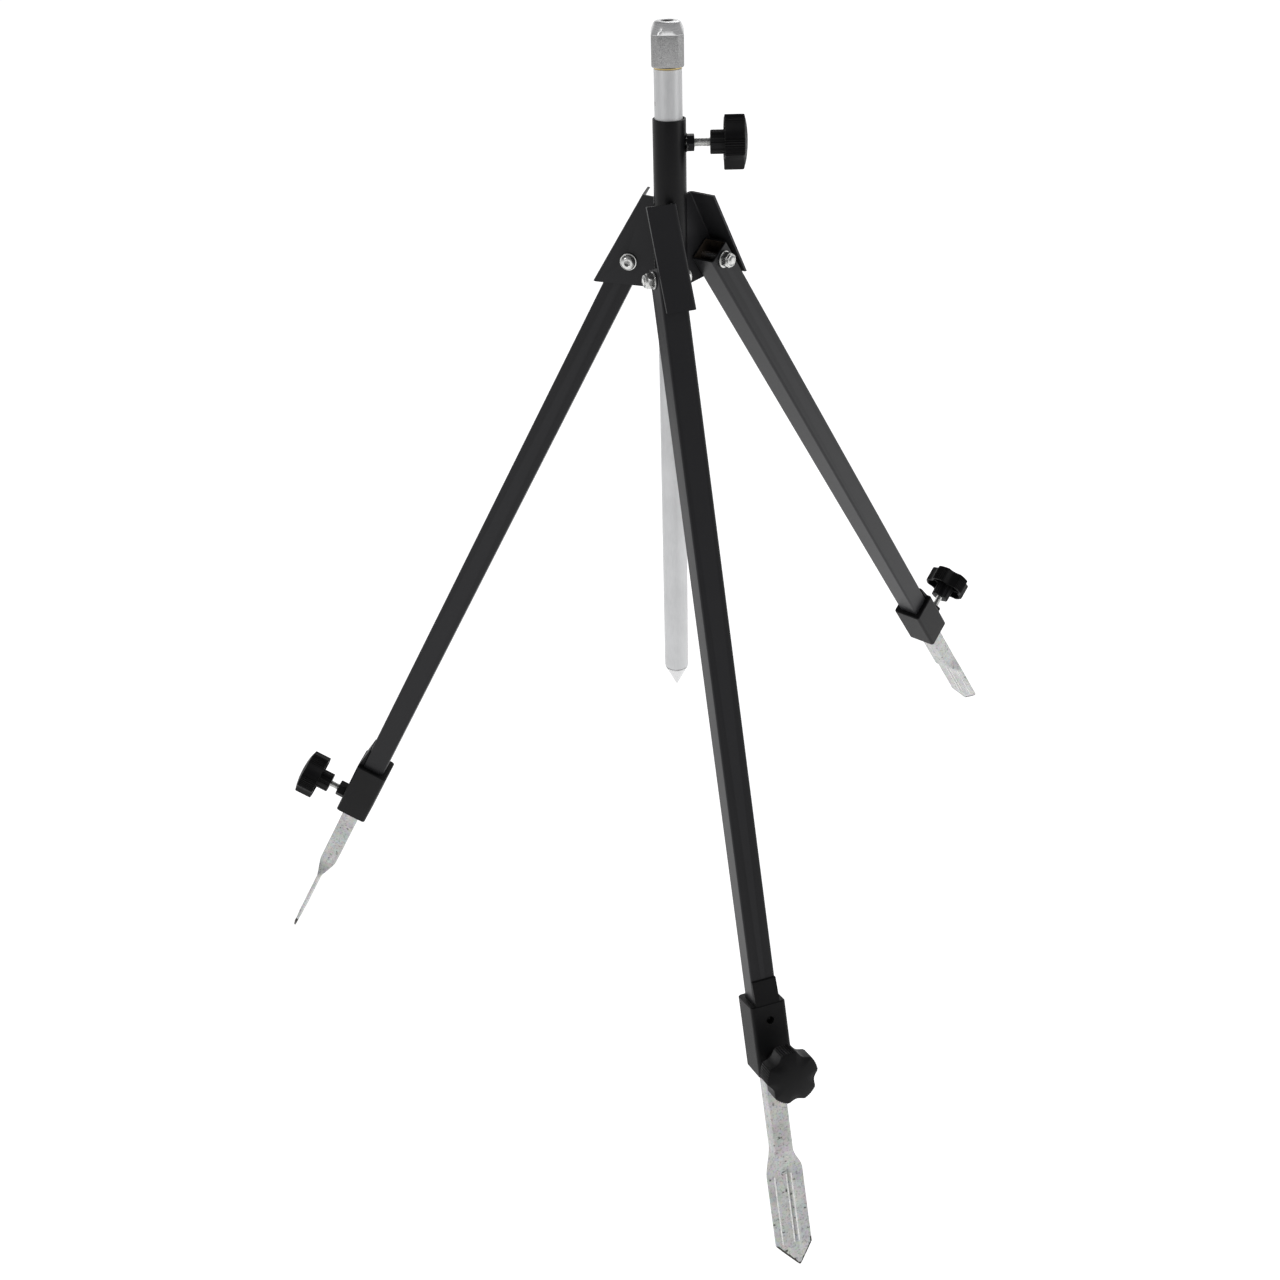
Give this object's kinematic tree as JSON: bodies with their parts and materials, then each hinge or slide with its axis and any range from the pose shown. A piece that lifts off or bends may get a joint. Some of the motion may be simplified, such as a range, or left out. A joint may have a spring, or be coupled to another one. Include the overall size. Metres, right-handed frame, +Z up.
{
  "type": "surveyor tripod",
  "caption": "Pole tripod with a pointed tube clamped in a sleeve, folding telescopic square legs, star-knob clamps and flattened spade feet.",
  "frame": {"origin": "centre of the bounding box at ground level, with the tripod standing on its three feet", "axes": "+Z up, +X to the right and +Y away from the viewer when the tripod is seen from the front, where leg a stands nearest; leg b is back right and leg c is left"},
  "size_m": [0.9359, 0.8677, 1.0941],
  "materials": {
    "black_powder_coat": "semi-gloss powder coat",
    "black_plastic": "moulded, slightly grainy",
    "zinc_plate": "zinc plated",
    "satin_tube": "satin",
    "brass": "turned"
  },
  "bodies": {
    "head": {"head_sleeve": "black_powder_coat", "head_clamp_nut": "black_powder_coat", "bracket_a": "black_powder_coat", "pivot_bolt_a": "zinc_plate", "head_washer_a": "zinc_plate", "nut_washer_a": "zinc_plate", "lock_nut_a": "zinc_plate", "bracket_b": "black_powder_coat", "pivot_bolt_b": "zinc_plate", "head_washer_b": "zinc_plate", "nut_washer_b": "zinc_plate", "lock_nut_b": "zinc_plate", "bracket_c": "black_powder_coat", "pivot_bolt_c": "zinc_plate", "head_washer_c": "zinc_plate", "nut_washer_c": "zinc_plate", "lock_nut_c": "zinc_plate"},
    "pole": {"pole_tube": "satin_tube", "pole_ring": "brass", "pole_coupler": "zinc_plate", "pole_point": "zinc_plate"},
    "head_screw": {"head_clamp_screw": "zinc_plate"},
    "head_knob": {"head_clamp_knob": "black_plastic"},
    "leg_a": {"leg_tube_a": "black_powder_coat", "collar_a": "black_plastic", "collar_rivet_a": "zinc_plate", "collar_nut_a": "black_powder_coat"},
    "lower_leg_a": {"foot_a": "zinc_plate"},
    "screw_a": {"leg_screw_a": "zinc_plate"},
    "knob_a": {"leg_knob_a": "black_plastic"},
    "leg_b": {"leg_tube_b": "black_powder_coat", "collar_b": "black_plastic", "collar_rivet_b": "zinc_plate", "collar_nut_b": "black_powder_coat"},
    "lower_leg_b": {"foot_b": "zinc_plate"},
    "screw_b": {"leg_screw_b": "zinc_plate"},
    "knob_b": {"leg_knob_b": "black_plastic"},
    "leg_c": {"leg_tube_c": "black_powder_coat", "collar_c": "black_plastic", "collar_rivet_c": "zinc_plate", "collar_nut_c": "black_powder_coat"},
    "lower_leg_c": {"foot_c": "zinc_plate"},
    "screw_c": {"leg_screw_c": "zinc_plate"},
    "knob_c": {"leg_knob_c": "black_plastic"}
  },
  "joints": [
    {"name": "pole_height", "type": "slide", "parent": "head", "child": "pole", "axis": [0.0271, 0.153, 0.9879], "range_m": [-0.042, 0.32]},
    {"name": "screw_travel_head", "type": "slide", "parent": "head", "child": "head_screw", "axis": [0.9996, -0.0021, -0.0271], "range_m": [0, 0.00626]},
    {"name": "knob_turn_head", "type": "hinge", "parent": "head_screw", "child": "head_knob", "pos_m": [0.09744, 0.09143, 0.99073], "axis": [0.9996, -0.0021, -0.0271], "range_deg": [0, 1800]},
    {"name": "leg_fold_a", "type": "hinge", "parent": "head", "child": "leg_a", "pos_m": [0.05484, 0.03129, 0.89067], "axis": [-0.938, -0.3377, 0.078], "range_deg": [-19.9, 17.38]},
    {"name": "foot_slide_a", "type": "slide", "parent": "leg_a", "child": "lower_leg_a", "axis": [0.0923, -0.4603, -0.883], "range_m": [-0.085, 0.37]},
    {"name": "screw_travel_a", "type": "slide", "parent": "leg_a", "child": "screw_a", "axis": [0.334, -0.8211, 0.4629], "range_m": [0, 0.01376]},
    {"name": "knob_turn_a", "type": "hinge", "parent": "screw_a", "child": "knob_a", "pos_m": [0.13533, -0.34519, 0.22894], "axis": [0.334, -0.8211, 0.4629], "range_deg": [0, 3960]},
    {"name": "leg_fold_b", "type": "hinge", "parent": "head", "child": "leg_b", "pos_m": [0.0974, 0.09386, 0.87981], "axis": [0.7682, -0.6355, 0.0774], "range_deg": [-36.72, 0.56]},
    {"name": "foot_slide_b", "type": "slide", "parent": "leg_b", "child": "lower_leg_b", "axis": [0.3609, 0.3301, -0.8722], "range_m": [-0.085, 0.37]},
    {"name": "screw_travel_b", "type": "slide", "parent": "leg_b", "child": "screw_b", "axis": [0.5288, 0.698, 0.483], "range_m": [-0.01326, 0.00101]},
    {"name": "knob_turn_b", "type": "hinge", "parent": "screw_b", "child": "knob_b", "pos_m": [0.39624, 0.37641, 0.23333], "axis": [0.5288, 0.698, 0.483], "range_deg": [-3816, 288]},
    {"name": "leg_fold_c", "type": "hinge", "parent": "head", "child": "leg_c", "pos_m": [0.02116, 0.09925, 0.88107], "axis": [0.1698, 0.9732, -0.1554], "range_deg": [-27.7, 9.58]},
    {"name": "foot_slide_c", "type": "slide", "parent": "leg_c", "child": "lower_leg_c", "axis": [-0.4822, -0.0554, -0.8743], "range_m": [-0.085, 0.37]},
    {"name": "screw_travel_c", "type": "slide", "parent": "leg_c", "child": "screw_c", "axis": [-0.8595, 0.2234, 0.4598], "range_m": [-0.00926, 0.00501]},
    {"name": "knob_turn_c", "type": "hinge", "parent": "screw_c", "child": "knob_c", "pos_m": [-0.38124, 0.06555, 0.23016], "axis": [-0.8595, 0.2234, 0.4598], "range_deg": [-2664, 1440]}
  ],
  "couplings": [
    {"joint": "screw_travel_head", "follows": "knob_turn_head", "m_per_rad": 0.00019894},
    {"joint": "screw_travel_a", "follows": "knob_turn_a", "m_per_rad": 0.00019894},
    {"joint": "screw_travel_b", "follows": "knob_turn_b", "m_per_rad": 0.00019894},
    {"joint": "screw_travel_c", "follows": "knob_turn_c", "m_per_rad": 0.00019894}
  ]
}
